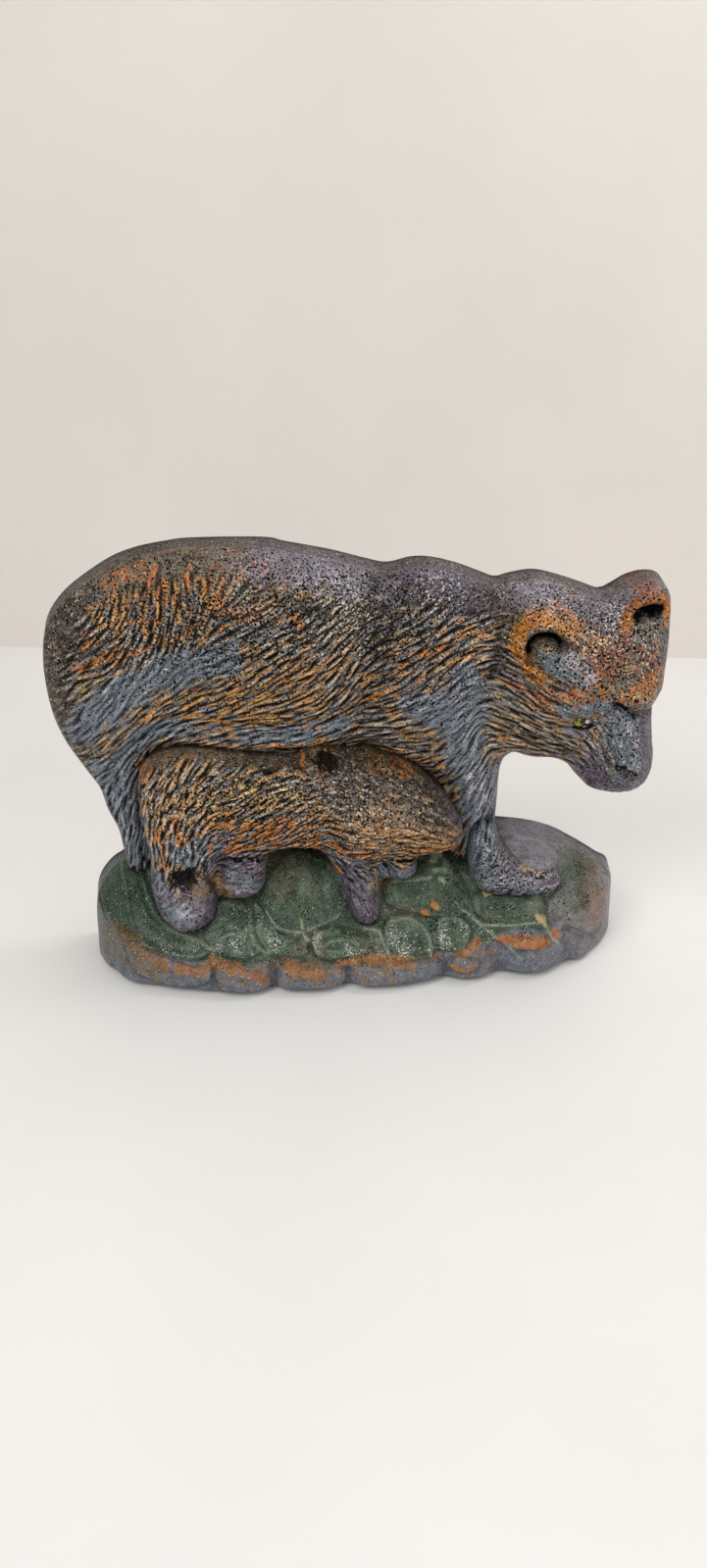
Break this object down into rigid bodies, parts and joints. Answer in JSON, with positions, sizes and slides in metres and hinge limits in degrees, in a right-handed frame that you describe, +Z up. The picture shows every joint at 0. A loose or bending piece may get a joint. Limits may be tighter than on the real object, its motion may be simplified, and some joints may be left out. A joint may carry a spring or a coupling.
{
  "type": "doorstop",
  "caption": "Cast iron doorstop with a walking bear and her cub in deep relief on a leafy, rocky mound, closed by a flat screwed back plate.",
  "frame": {"origin": "centre of the bounding box's bottom, where the rubber feet stand on the floor", "axes": "+X from the mother's rump to her head, +Y to the flat back, +Z up; the relief faces -Y"},
  "size_m": [0.2781, 0.0617, 0.1987],
  "materials": {
    "painted_iron": "hand painted and worn",
    "plate_iron": "black japanned",
    "screw_steel": "dull",
    "pin_steel": "ground",
    "black_rubber": "matte"
  },
  "bodies": {
    "root": {"front_casting": "painted_iron", "back_plate": "plate_iron", "back_screw_1": "screw_steel", "back_screw_2": "screw_steel", "back_screw_3": "screw_steel", "back_screw_4": "screw_steel", "locating_pin_1": "pin_steel", "locating_pin_2": "pin_steel", "rubber_foot_1": "black_rubber", "rubber_foot_2": "black_rubber", "rubber_foot_3": "black_rubber", "rubber_foot_4": "black_rubber"}
  },
  "joints": []
}
